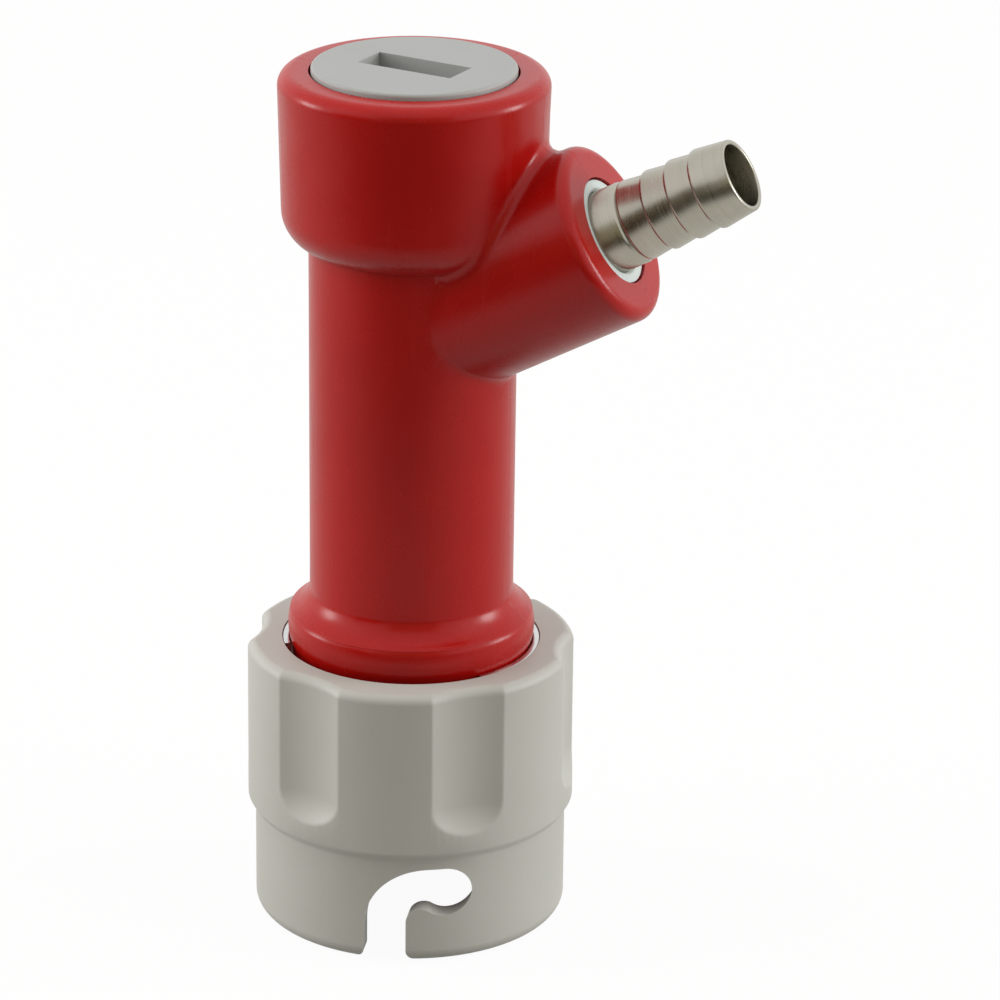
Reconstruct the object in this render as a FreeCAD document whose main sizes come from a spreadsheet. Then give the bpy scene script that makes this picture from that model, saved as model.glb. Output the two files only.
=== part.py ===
import FreeCAD, Part
import math
import os

import Sketcher

# Pin lock gas connector: a red moulded housing with a hose arm, a turning grey
# bayonet collar under it, a screw cap on top and a spring-loaded valve inside.
# Millimetres. +Z runs up the housing, the origin is on its axis in the plane of
# the collar's foot, and the two bayonet entries look along -Y and +Y.

DRIVING = {
    # Bayonet collar, outside
    "grip_step": 0.8,
    "grip_radius": 17.5,
    "mouth_depth": 5,
    "step_foot": 11.75,
    "step_rise": 1.3,
    "foot_round": 1.6,
    "crown_round": 1.0,
    "flute_count": 6,
    "flute_depth": 1.15,
    "flute_sweep": 12.0,
    "flute_foot": 13.4,
    "flute_end_round": 4.5,
    "flute_edge_round": 0.7,
    # Bayonet collar, inside
    "skirt_bore": 14.5,
    "skirt_depth": 10.4,
    "grip_bore": 14.0,
    "mouth_radius": 13.8,
    "lip_thickness": 0.8,
    "groove_depth": 0.8,
    "ledge_height": 26.0,
    "ledge_thickness": 3.0,
    # Bayonet slots
    "slot_count": 2,
    "slot_width": 4.5,
    "slot_corner": 1.5,
    "slot_roof": 10.9,
    "slot_sweep": 6.77,
    "pocket_offset": 6.25,
    "pocket_radius": 2.7,
    "tongue_round": 1.5,
    # Retaining ring
    "ring_thickness": 0.8,
    "ring_gap_angle": 20.0,
    "ring_gap_azimuth": -145.8,
    "ring_inner_play": 0.13,
    "ring_outer_play": 0.2,
    "ring_edge": 0.2,
    # Housing, outside
    "nose_foot": 10.5,
    "nose_radius": 11.95,
    "nose_edge": 0.5,
    "flange_radius": 13.6,
    "band_radius": 13.15,
    "band_rise": 1.6,
    "band_curve": 6.0,
    "band_height": 1.7,
    "flare_height": 2.6,
    "flare_curve": 4.0,
    "stem_radius": 10.85,
    "stem_draft": 0.1,
    "head_length": 18.6,
    "head_rise": 4.1,
    "head_curve": 4.2,
    "head_radius": 13.8,
    "head_draft": 0.35,
    "head_round": 1.5,
    "body_height": 93.7,
    # Housing, post socket and valve chamber
    "socket_mouth_radius": 9.2,
    "socket_mouth_depth": 10.5,
    "socket_radius": 7.9,
    "socket_drop": 9.5,
    "recess_radius": 5.5,
    "recess_drop": 5.5,
    "pin_bore": 3.0,
    "seat_foot": 46.5,
    "chamber_radius": 7.0,
    # Hose arm of the housing
    "arm_drop": 26.85,
    "arm_rise": 29.0,
    "arm_azimuth": -10.0,
    "boss_radius": 9.65,
    "boss_reach": 25.0,
    "boss_round": 1.3,
    "boss_blend": 1.2,
    "port_radius": 2.6,
    "pilot_foot": 11.0,
    "pilot_depth": 3.0,
    "gland_radius": 5.85,
    # Hose barb
    "barb_bore": 3.35,
    "barb_stem_radius": 3.95,
    "barb_flange_radius": 5.55,
    "barb_flange_thickness": 1.2,
    "barb_first_ridge": 27.6,
    "barb_ridge_pitch": 2.88,
    "barb_ridge_count": 4,
    "barb_ridge_radius": 4.33,
    "barb_ridge_rise": 0.45,
    "barb_tip": 40.3,
    "barb_tip_radius": 3.9,
    "barb_tip_round": 0.2,
    # Ferrule and seal of the hose barb
    "ferrule_recess": 0.35,
    "ferrule_edge": 0.3,
    "barb_seal_section": 1.78,
    # Top cap
    "cap_radius": 10.7,
    "cap_gap": 0.25,
    "cap_proud": 0.6,
    "cap_head_thickness": 4.1,
    "cap_edge": 0.35,
    "cap_neck_radius": 8.95,
    "plug_radius": 9.2,
    "plug_length": 10.3,
    "plug_room": 1.5,
    "plug_recess_radius": 5.8,
    "plug_recess_depth": 6.0,
    "driver_slot_length": 11.0,
    "driver_slot_width": 4.4,
    "driver_slot_depth": 2.6,
    "driver_slot_azimuth": -21.3,
    "cap_seal_section": 1.72,
    # Valve poppet, its seal and its spring
    "pin_radius": 1.8,
    "pin_set_back": 0.6,
    "pin_edge": 0.5,
    "poppet_lip_radius": 3.2,
    "poppet_lip_thickness": 0.7,
    "poppet_head_radius": 5.6,
    "poppet_head_thickness": 2.2,
    "poppet_guide_radius": 3.6,
    "poppet_guide_length": 5.0,
    "poppet_guide_edge": 0.6,
    "poppet_seal_radius": 3.8,
    "poppet_seal_section": 2.0,
    "spring_radius": 4.85,
    "spring_wire": 0.9,
    "seal_shoulder": 0.29,
    "spring_turns": 9,
    "spring_closed_turns": 1,
    "spring_closed_pitch": 1.06,
    # Fits
    "running_clearance": 0.08,
    "seat_gap": 0.03,
}

# Heights and radii that follow from the driving dimensions.
DERIVED = {
    "socket_top": "dims.seat_foot - dims.socket_drop",
    "recess_top": "dims.seat_foot - dims.recess_drop",
    "head_foot": "dims.body_height - dims.head_length",
    "head_shoulder": "head_foot + dims.head_rise",
    "arm_height": "dims.body_height - dims.arm_drop",
    "collar_height": "dims.ledge_height + dims.mouth_depth",
    "band_middle": "collar_height + dims.band_rise",
    "band_top": "band_middle + dims.band_height",
    "flare_top": "band_top + dims.flare_height",
    "skirt_radius": "dims.grip_radius - dims.grip_step",
    "ledge_bore": "dims.nose_radius + dims.running_clearance",
    "groove_radius": "dims.mouth_radius + dims.groove_depth",
    "groove_top": "collar_height - dims.lip_thickness",
    "ring_top": "groove_top - dims.seat_gap",
    "ring_foot": "ring_top - dims.ring_thickness",
    "groove_foot": "ring_foot - dims.seat_gap",
    "flange_foot": "dims.ledge_height + dims.seat_gap",
    "flange_top": "groove_foot - dims.seat_gap",
    "neck_radius": "dims.band_radius - dims.band_curve"
                   " + sqrt(dims.band_curve^2 - (band_middle - groove_top)^2)",
    "band_edge_radius": "dims.band_radius - dims.band_curve"
                        " + sqrt(dims.band_curve^2 - (band_top - band_middle)^2)",
    "ring_inner_radius": "neck_radius + dims.ring_inner_play",
    "ring_outer_radius": "groove_radius - dims.ring_outer_play",
    "stem_top_radius": "dims.stem_radius + dims.stem_draft",
    "head_top_radius": "dims.head_radius + dims.head_draft",
    "pocket_height": "dims.slot_roof - dims.pocket_radius",
    "tongue_middle": "dims.slot_width / 2 + dims.tongue_round",
    "tongue_height": "pocket_height - sqrt((dims.pocket_radius + dims.tongue_round)^2"
                     " - (dims.pocket_offset - tongue_middle)^2)",
    "tongue_share": "dims.pocket_radius / (dims.pocket_radius + dims.tongue_round)",
    "flute_centre": "dims.grip_radius - dims.flute_depth + dims.flute_sweep",
    "cap_top": "dims.body_height + dims.cap_proud",
    "cap_underside": "cap_top - dims.cap_head_thickness",
    "well_radius": "dims.cap_radius + dims.cap_gap",
    "well_floor": "cap_underside - dims.cap_seal_section - 2 * dims.seat_gap",
    "thread_bore": "dims.plug_radius + dims.running_clearance",
    "plug_foot": "well_floor - dims.plug_length",
    "chamber_top": "plug_foot - dims.plug_room",
    "spring_top": "plug_foot + dims.plug_recess_depth - dims.seat_gap",
    "seat_top": "dims.seat_foot + dims.chamber_radius - dims.pin_bore",
    "cap_seal_radius": "dims.cap_neck_radius + dims.seat_gap + dims.cap_seal_section / 2",
    "cap_seal_height": "cap_underside - dims.seat_gap - dims.cap_seal_section / 2",
    "poppet_seal_height": "dims.seat_foot + dims.poppet_seal_radius - dims.pin_bore"
                          " + (dims.poppet_seal_section / 2 + dims.seat_gap) * sqrt(2)",
    "poppet_seal_foot": "poppet_seal_height - dims.poppet_seal_section / 2",
    "poppet_neck_radius": "dims.poppet_seal_radius - dims.poppet_seal_section / 2 - dims.seat_gap",
    "poppet_lip_top": "poppet_seal_foot - dims.seat_gap",
    "poppet_lip_foot": "poppet_lip_top - dims.poppet_lip_thickness",
    "poppet_head_foot": "poppet_seal_height + dims.poppet_seal_section / 2 + dims.seat_gap",
    "poppet_head_top": "poppet_head_foot + dims.poppet_head_thickness",
    "pin_tip": "socket_top + dims.pin_set_back",
    "spring_foot": "poppet_head_top + dims.seat_gap",
    "pilot_radius": "dims.barb_stem_radius + dims.seat_gap",
    "gland_foot": "dims.pilot_foot + dims.pilot_depth",
    "barb_foot": "dims.pilot_foot + dims.seat_gap",
    "barb_seal_height": "gland_foot + dims.seat_gap + dims.barb_seal_section / 2",
    "barb_seal_radius": "dims.barb_stem_radius + dims.seat_gap + dims.barb_seal_section / 2",
    "barb_flange_foot": "barb_seal_height + dims.barb_seal_section / 2 + dims.seat_gap",
    "barb_flange_top": "barb_flange_foot + dims.barb_flange_thickness",
    "ferrule_foot": "barb_flange_top + dims.seat_gap",
    "ferrule_top": "dims.boss_reach - dims.ferrule_recess",
    "ferrule_inner_radius": "dims.barb_stem_radius + 2 * dims.seat_gap",
    "ferrule_outer_radius": "dims.gland_radius - 2 * dims.seat_gap",
}

PARTS_FOLDER = "parts"
FULL_TURN = 360
HALF_TURN = 180
WIRE_SIDES = 8
SLOT_OVERRUN = 1.0
TOLERANCE = 1e-4

doc = FreeCAD.newDocument("pin_lock_gas_connector")


def fill_sheet(name, cells):
    """Make a spreadsheet whose column B holds the cells, each under its alias."""
    sheet = doc.addObject("Spreadsheet::Sheet", name)
    for row, (alias, content) in enumerate(cells.items(), start=1):
        sheet.set(f"A{row}", alias)
        sheet.set(f"B{row}", content)
        sheet.setAlias(f"B{row}", alias)
    doc.recompute()
    return sheet


dims = fill_sheet("dims", {name: str(value) for name, value in DRIVING.items()})
places = fill_sheet("places", {name: "=" + formula for name, formula in DERIVED.items()})


def value(expression):
    """The number that an expression on the two sheets stands for."""
    return float(dims.evalExpression(expression))


def new_body(label, placement=None):
    """An empty body; placement is an expression that sets it in the part's frame."""
    body = doc.addObject("PartDesign::Body", label)
    body.Label = label
    if placement:
        body.setExpression("Placement", placement)
    return body


def origin_feature(body, role):
    """A plane or axis of the body's own origin."""
    return next(feature for feature in body.Origin.OriginFeatures if feature.Role == role)


def new_sketch(body, name, role="XZ_Plane", offset=None):
    """A sketch flat on one of the body's origin planes, moved by an offset expression."""
    sketch = body.newObject("Sketcher::SketchObject", name)
    sketch.AttachmentSupport = [(origin_feature(body, role), "")]
    sketch.MapMode = "FlatFace"
    if offset:
        sketch.setExpression("AttachmentOffset", offset)
    return sketch


def arc_between(start, end, bend):
    """The short arc of radius |bend|; its centre is left of the way when bend is positive."""
    chord = end - start
    left = FreeCAD.Vector(-chord.y, chord.x, 0).normalize() * math.copysign(1, bend)
    rise = math.sqrt(max(bend * bend - chord.Length ** 2 / 4, 0))
    centre = start + chord * 0.5 + left * rise
    first, last = (start, end) if bend > 0 else (end, start)
    angles = [math.atan2(point.y - centre.y, point.x - centre.x) for point in (first, last)]
    circle = Part.Circle(centre, FreeCAD.Vector(0, 0, 1), abs(bend))
    return Part.ArcOfCircle(circle, angles[0], angles[1])


def pin_down(sketch, edge, end, across, up):
    """Fix one end of an edge at the given expressions, on the axes where they are zero."""
    for kind, expression, axis in (("DistanceX", across, -2), ("DistanceY", up, -1)):
        distance = value(expression)
        if abs(distance) < TOLERANCE:
            sketch.addConstraint(Sketcher.Constraint("PointOnObject", edge, end, axis))
            continue
        index = sketch.addConstraint(Sketcher.Constraint(kind, -1, 1, edge, end, distance))
        sketch.setExpression(f"Constraints[{index}]", expression)


def closed_outline(sketch, corners):
    """Draw a closed outline in the sketch, bound to the sheets.

    Each corner is (across, up) or (across, up, bend) in expressions. A bend makes the
    way from the corner before an arc of that radius, which turns left when positive.
    """
    corners = [tuple(str(item) for item in corner) for corner in corners]
    points = [FreeCAD.Vector(value(corner[0]), value(corner[1]), 0) for corner in corners]
    ends = []
    for index, corner in enumerate(corners):
        start = points[index - 1]
        end = points[index]
        if len(corner) == 3:
            bend = value(corner[2])
            edge = sketch.addGeometry(arc_between(start, end, bend))
            radius = sketch.addConstraint(Sketcher.Constraint("Radius", edge, abs(bend)))
            sketch.setExpression(f"Constraints[{radius}]", f"abs({corner[2]})")
            ends.append((edge, 1, 2) if bend > 0 else (edge, 2, 1))
        else:
            ends.append((sketch.addGeometry(Part.LineSegment(start, end)), 1, 2))
    for index, corner in enumerate(corners):
        edge, _, last = ends[index]
        following, first, _ = ends[(index + 1) % len(ends)]
        sketch.addConstraint(Sketcher.Constraint("Coincident", edge, last, following, first))
        pin_down(sketch, edge, last, corner[0], corner[1])


def turned(body, kind, name, corners, offset=None):
    """A Revolution or Groove of an outline about its sketch's upright axis."""
    sketch = new_sketch(body, name + "_outline", offset=offset)
    closed_outline(sketch, corners)
    feature = body.newObject("PartDesign::" + kind, name)
    feature.Profile = sketch
    feature.ReferenceAxis = (sketch, ["V_Axis"])
    feature.Angle = FULL_TURN
    return feature


def polar_pattern(body, name, original, occurrences):
    """Repeat a feature evenly round the body's Z axis."""
    pattern = body.newObject("PartDesign::PolarPattern", name)
    pattern.Originals = [original]
    pattern.Axis = (origin_feature(body, "Z_Axis"), [""])
    pattern.Angle = FULL_TURN
    pattern.setExpression("Occurrences", occurrences)
    body.Tip = pattern
    return pattern


def edge_names(feature, wanted):
    """Names of the feature's edges for which wanted(edge) is true."""
    doc.recompute()
    edges = feature.Shape.Edges
    return [f"Edge{number}" for number, edge in enumerate(edges, start=1) if wanted(edge)]


def ring_edges(feature, radius, height):
    """Names of the round edges about the feature's Z axis with this radius and height."""
    def wanted(edge):
        curve = edge.Curve
        return (isinstance(curve, Part.Circle)
                and abs(curve.Radius - value(radius)) < TOLERANCE
                and abs(curve.Center.z - value(height)) < TOLERANCE
                and math.hypot(curve.Center.x, curve.Center.y) < TOLERANCE)
    return edge_names(feature, wanted)


def dressed(body, kind, name, base, edges, size):
    """A Fillet or Chamfer of the named edges."""
    feature = body.newObject("PartDesign::" + kind, name)
    feature.Base = (base, edges)
    feature.setExpression("Radius" if kind == "Fillet" else "Size", size)
    return feature


def o_ring(label, radius, section, height, placement=None):
    """An O-ring as its gland squeezes it: middle radius, section and height on its own axis."""
    body = new_body(label, placement)
    outer = f"({radius}) + ({section}) / 2"
    inner = f"({radius}) - ({section}) / 2"
    top = f"({height}) + ({section}) / 2"
    foot = f"({height}) - ({section}) / 2"
    cut = f"({section}) * dims.seal_shoulder"
    corners = [
        (f"{outer} - {cut}", foot),
        (outer, f"{foot} + {cut}"),
        (outer, f"{top} - {cut}"),
        (f"{outer} - {cut}", top),
        (f"{inner} + {cut}", top),
        (inner, f"{top} - {cut}"),
        (inner, f"{foot} + {cut}"),
        (f"{inner} + {cut}", foot),
    ]
    turned(body, "Revolution", label + "_ring", corners)
    return body


def spin_about_z(azimuth):
    """Placement expression: turned about Z only."""
    return ("create(<<placement>>; create(<<vector>>; 0; 0; 0);"
            f" create(<<rotation>>; create(<<vector>>; 0; 0; 1); {azimuth}))")


# Placement of what lies along the hose arm, with its own Z along the arm.
ON_ARM = ("create(<<placement>>; create(<<vector>>; 0; 0; places.arm_height);"
          " create(<<rotation>>; dims.arm_azimuth; 90 - dims.arm_rise; 0))")

# Offset of a sketch in the housing's XZ plane whose upright axis is the hose arm.
ALONG_ARM = ("create(<<placement>>; create(<<vector>>; 0; places.arm_height; 0);"
             " create(<<rotation>>; create(<<vector>>; 0; 0; 1); dims.arm_rise - 90))")


def boss_root_edges(boss):
    """Names of the edges where the hose boss meets the stem and the head."""
    rise = math.radians(value("dims.arm_rise"))
    foot = FreeCAD.Vector(0, 0, value("places.arm_height"))
    along = FreeCAD.Vector(math.cos(rise), 0, math.sin(rise))
    radius = value("dims.boss_radius")

    def wanted(edge):
        if isinstance(edge.Curve, (Part.Line, Part.Circle)):
            return False
        points = edge.discretize(5)
        return all(abs(point.distanceToLine(foot, along) - radius) < 0.01 for point in points)
    return edge_names(boss, wanted)


def make_main_body():
    """Red housing: nose, flange, band, stem, head and hose boss, bored from both ends."""
    body = new_body("main_body", spin_about_z("dims.arm_azimuth"))
    turned(body, "Revolution", "outer_form", [
        ("0", "dims.nose_foot"),
        ("dims.nose_radius - dims.nose_edge", "dims.nose_foot"),
        ("dims.nose_radius", "dims.nose_foot + dims.nose_edge"),
        ("dims.nose_radius", "places.flange_foot"),
        ("dims.flange_radius", "places.flange_foot"),
        ("dims.flange_radius", "places.flange_top"),
        ("places.neck_radius", "places.flange_top"),
        ("places.neck_radius", "places.groove_top"),
        ("places.band_edge_radius", "places.band_top", "dims.band_curve"),
        ("dims.stem_radius", "places.flare_top", "-dims.flare_curve"),
        ("places.stem_top_radius", "places.head_foot"),
        ("dims.head_radius", "places.head_shoulder", "dims.head_curve"),
        ("places.head_top_radius", "dims.body_height - dims.head_round"),
        ("places.head_top_radius - dims.head_round", "dims.body_height", "dims.head_round"),
        ("0", "dims.body_height"),
    ])
    boss = turned(body, "Revolution", "hose_boss", [
        ("0", "0"),
        ("dims.boss_radius", "0"),
        ("dims.boss_radius", "dims.boss_reach - dims.boss_round"),
        ("dims.boss_radius - dims.boss_round", "dims.boss_reach", "dims.boss_round"),
        ("0", "dims.boss_reach"),
    ], offset=ALONG_ARM)
    dressed(body, "Fillet", "boss_blend", boss, boss_root_edges(boss), "dims.boss_blend")
    turned(body, "Groove", "socket_and_chamber", [
        ("0", "dims.nose_foot"),
        ("dims.socket_mouth_radius + dims.nose_edge", "dims.nose_foot"),
        ("dims.socket_mouth_radius", "dims.nose_foot + dims.nose_edge"),
        ("dims.socket_mouth_radius", "dims.nose_foot + dims.socket_mouth_depth"),
        ("dims.socket_radius", "dims.nose_foot + dims.socket_mouth_depth"
                               " + dims.socket_mouth_radius - dims.socket_radius"),
        ("dims.socket_radius", "places.socket_top"),
        ("dims.recess_radius", "places.socket_top"),
        ("dims.recess_radius", "places.recess_top"),
        ("dims.pin_bore", "places.recess_top"),
        ("dims.pin_bore", "dims.seat_foot"),
        ("dims.chamber_radius", "places.seat_top"),
        ("dims.chamber_radius", "places.chamber_top"),
        ("places.thread_bore", "places.chamber_top"),
        ("places.thread_bore", "places.well_floor"),
        ("places.well_radius", "places.well_floor"),
        ("places.well_radius", "dims.body_height"),
        ("0", "dims.body_height"),
    ])
    turned(body, "Groove", "arm_bore", [
        ("0", "0"),
        ("dims.port_radius", "0"),
        ("dims.port_radius", "dims.pilot_foot"),
        ("places.pilot_radius", "dims.pilot_foot"),
        ("places.pilot_radius", "places.gland_foot"),
        ("dims.gland_radius", "places.gland_foot"),
        ("dims.gland_radius", "dims.boss_reach"),
        ("0", "dims.boss_reach"),
    ], offset=ALONG_ARM)
    return body


def make_collar():
    """Grey bayonet collar: a fluted grip over a plain skirt with J slots."""
    body = new_body("bayonet_collar")
    turned(body, "Revolution", "collar_form", [
        ("dims.skirt_bore", "0"),
        ("places.skirt_radius - dims.foot_round", "0"),
        ("places.skirt_radius", "dims.foot_round", "dims.foot_round"),
        ("places.skirt_radius", "dims.step_foot"),
        ("dims.grip_radius", "dims.step_foot + dims.step_rise"),
        ("dims.grip_radius", "places.collar_height"),
        ("dims.mouth_radius", "places.collar_height"),
        ("dims.mouth_radius", "places.groove_top"),
        ("places.groove_radius", "places.groove_top"),
        ("places.groove_radius", "places.groove_foot"),
        ("dims.mouth_radius", "places.groove_foot"),
        ("dims.mouth_radius", "dims.ledge_height"),
        ("places.ledge_bore", "dims.ledge_height"),
        ("places.ledge_bore", "dims.ledge_height - dims.ledge_thickness"),
        ("dims.grip_bore", "dims.ledge_height - dims.ledge_thickness"),
        ("dims.grip_bore", "dims.skirt_depth"),
        ("dims.skirt_bore", "dims.skirt_depth"),
    ])
    flute = turned(body, "Groove", "flute", [
        ("0", "dims.flute_foot"),
        ("dims.flute_sweep - dims.flute_end_round", "dims.flute_foot"),
        ("dims.flute_sweep", "dims.flute_foot + dims.flute_end_round", "dims.flute_end_round"),
        ("dims.flute_sweep", "places.collar_height + dims.crown_round"),
        ("0", "places.collar_height + dims.crown_round"),
    ], offset="create(<<placement>>; create(<<vector>>; places.flute_centre; 0; 0);"
              " create(<<rotation>>; 0; 0; 0))")
    flutes = polar_pattern(body, "flutes", flute, "dims.flute_count")
    softened = dressed(body, "Fillet", "flute_edges", flutes, flute_edges(flutes),
                       "dims.flute_edge_round")
    dressed(body, "Fillet", "crown", softened, crown_edges(softened), "dims.crown_round")
    slot_sketch = new_sketch(body, "slot_outline")
    closed_outline(slot_sketch, slot_corners())
    slot = body.newObject("PartDesign::Pocket", "slot")
    slot.Profile = slot_sketch
    slot.Type = "Length"
    slot.Reversed = True
    slot.setExpression("Length", "dims.grip_radius + dims.crown_round")
    polar_pattern(body, "slots", slot, "dims.slot_count")
    return body


def flute_edges(flutes):
    """Names of the edges along which the flutes cut the round grip."""
    radius = value("dims.grip_radius")
    crown = value("places.collar_height")

    def wanted(edge):
        points = edge.discretize(5)
        on_grip = all(abs(math.hypot(point.x, point.y) - radius) < 0.01 for point in points)
        level = max(point.z for point in points) - min(point.z for point in points) < TOLERANCE
        return on_grip and not level and points[0].z + points[-1].z < 2 * crown
    return edge_names(flutes, wanted)


def crown_edges(collar):
    """Names of the outer edges of the collar's top face."""
    crown = value("places.collar_height")
    mouth = value("dims.mouth_radius")

    def wanted(edge):
        points = edge.discretize(5)
        outside = all(math.hypot(point.x, point.y) > mouth + 1 for point in points)
        return outside and all(abs(point.z - crown) < TOLERANCE for point in points)
    return edge_names(collar, wanted)


def slot_corners():
    """Outline of a J slot seen from outside: entry, sweep, pocket and tongue."""
    entry = "dims.slot_width / 2"
    corner = "dims.slot_width / 2 + dims.slot_corner"
    below = f"-{SLOT_OVERRUN}"
    meeting = (
        "dims.pocket_offset + (places.tongue_middle - dims.pocket_offset) * places.tongue_share",
        "places.pocket_height + (places.tongue_height - places.pocket_height)"
        " * places.tongue_share",
    )
    return [
        (f"-({corner})", below),
        (corner, below),
        (corner, "0"),
        (entry, "dims.slot_corner", "-dims.slot_corner"),
        (entry, "places.tongue_height"),
        (*meeting, "-dims.tongue_round"),
        ("dims.pocket_offset + dims.pocket_radius", "places.pocket_height",
         "dims.pocket_radius"),
        ("dims.pocket_offset", "dims.slot_roof", "dims.pocket_radius"),
        (f"dims.slot_sweep - {entry}", "dims.slot_roof"),
        (f"-{entry}", "dims.slot_roof - dims.slot_sweep", "dims.slot_sweep"),
        (f"-{entry}", "dims.slot_corner"),
        (f"-({corner})", "0", "-dims.slot_corner"),
    ]


def make_retaining_ring():
    """Split ring of flat wire, sprung into the collar's groove over the flange."""
    body = new_body("retaining_ring",
                    spin_about_z("dims.ring_gap_azimuth + dims.ring_gap_angle / 2"))
    ring = turned(body, "Revolution", "flat_wire", [
        ("places.ring_inner_radius", "places.ring_foot"),
        ("places.ring_outer_radius", "places.ring_foot"),
        ("places.ring_outer_radius", "places.ring_top"),
        ("places.ring_inner_radius", "places.ring_top"),
    ])
    ring.setExpression("Angle", f"{FULL_TURN} - dims.ring_gap_angle")
    edges = []
    for radius in ("places.ring_inner_radius", "places.ring_outer_radius"):
        for height in ("places.ring_foot", "places.ring_top"):
            edges += ring_edges(ring, radius, height)
    dressed(body, "Chamfer", "broken_edges", ring, edges, "dims.ring_edge")
    return body


def make_top_cap():
    """Grey screw cap: head in the well, plug below it with the spring's recess."""
    body = new_body("top_cap", spin_about_z("dims.driver_slot_azimuth"))
    turned(body, "Revolution", "cap_form", [
        ("0", "places.plug_foot + dims.plug_recess_depth"),
        ("dims.plug_recess_radius", "places.plug_foot + dims.plug_recess_depth"),
        ("dims.plug_recess_radius", "places.plug_foot"),
        ("dims.plug_radius", "places.plug_foot"),
        ("dims.plug_radius", "places.well_floor - dims.seat_gap"),
        ("dims.cap_neck_radius", "places.well_floor - dims.seat_gap"),
        ("dims.cap_neck_radius", "places.cap_underside"),
        ("dims.cap_radius", "places.cap_underside"),
        ("dims.cap_radius", "places.cap_top - dims.cap_edge"),
        ("dims.cap_radius - dims.cap_edge", "places.cap_top", "dims.cap_edge"),
        ("0", "places.cap_top"),
    ])
    sketch = new_sketch(body, "driver_slot_outline", "XY_Plane",
                        "create(<<placement>>; create(<<vector>>; 0; 0; places.cap_top);"
                        " create(<<rotation>>; 0; 0; 0))")
    half_length = "dims.driver_slot_length / 2"
    half_width = "dims.driver_slot_width / 2"
    closed_outline(sketch, [
        (f"-{half_length}", f"-{half_width}"),
        (half_length, f"-{half_width}"),
        (half_length, half_width),
        (f"-{half_length}", half_width),
    ])
    slot = body.newObject("PartDesign::Pocket", "driver_slot")
    slot.Profile = sketch
    slot.Type = "Length"
    slot.setExpression("Length", "dims.driver_slot_depth")
    return body


def make_poppet():
    """Valve poppet: long pin, lip and head that hold the seal, guide for the spring."""
    body = new_body("valve_poppet")
    guide_top = "places.poppet_head_top + dims.poppet_guide_length"
    turned(body, "Revolution", "poppet_form", [
        ("0", "places.pin_tip"),
        ("dims.pin_radius - dims.pin_edge", "places.pin_tip"),
        ("dims.pin_radius", "places.pin_tip + dims.pin_edge"),
        ("dims.pin_radius", "places.poppet_lip_foot - dims.poppet_lip_thickness"),
        ("dims.poppet_lip_radius", "places.poppet_lip_foot"),
        ("dims.poppet_lip_radius", "places.poppet_lip_top"),
        ("places.poppet_neck_radius", "places.poppet_lip_top"),
        ("places.poppet_neck_radius", "places.poppet_head_foot"),
        ("dims.poppet_head_radius", "places.poppet_head_foot"),
        ("dims.poppet_head_radius", "places.poppet_head_top"),
        ("dims.poppet_guide_radius", "places.poppet_head_top"),
        ("dims.poppet_guide_radius", f"{guide_top} - dims.poppet_guide_edge"),
        ("dims.poppet_guide_radius - dims.poppet_guide_edge", guide_top),
        ("0", guide_top),
    ])
    return body


def wire_outline(centre, wire):
    """The eight corners of the spring wire's section, its flats tangent to the round wire."""
    corner_radius = wire / 2 / math.cos(math.pi / WIRE_SIDES)
    corners = []
    for side in range(WIRE_SIDES):
        angle = (side + 0.5) * 2 * math.pi / WIRE_SIDES
        reach = FreeCAD.Vector(math.cos(angle), 0, math.sin(angle)) * corner_radius
        corners.append(centre + reach)
    return corners


def make_spring():
    """Compression spring with closed ends, each half turn a bent wire that leans with the coil."""
    radius = value("dims.spring_radius")
    wire = value("dims.spring_wire")
    half_turns = 2 * int(value("dims.spring_turns"))
    closed = 2 * int(value("dims.spring_closed_turns"))
    closed_rise = wire * value("dims.spring_closed_pitch") / 2
    foot = value("places.spring_foot") + wire / 2
    length = value("places.spring_top") - wire / 2 - foot
    open_rise = (length - 2 * closed * closed_rise) / (half_turns - 2 * closed)
    start = FreeCAD.Vector(radius, 0, foot)
    corners = wire_outline(start, wire)
    faces = [Part.Face(Part.makePolygon(corners + corners[:1]))]
    for number in range(half_turns):
        at_end = number < closed or number >= half_turns - closed
        rise = closed_rise if at_end else open_rise
        end = FreeCAD.Vector(-start.x, 0, start.z + rise)
        centre = (start + end) / 2
        axis = (end - start).cross(FreeCAD.Vector(0, 1, 0))
        if axis.z < 0:
            axis = -axis
        for edge in Part.makePolygon(corners + corners[:1]).Edges:
            faces.append(edge.revolve(centre, axis, HALF_TURN))
        bend = FreeCAD.Rotation(axis, HALF_TURN)
        corners = [centre + bend.multVec(corner - centre) for corner in corners]
        start = end
    faces.append(Part.Face(Part.makePolygon(corners + corners[:1])))
    coil = Part.makeShell(faces)
    coil.sewShape()
    spring = doc.addObject("Part::Feature", "valve_spring")
    spring.Label = "valve_spring"
    spring.Shape = Part.makeSolid(Part.Shell(coil.Faces))
    spring.Placement = FreeCAD.Placement()
    return spring


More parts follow.
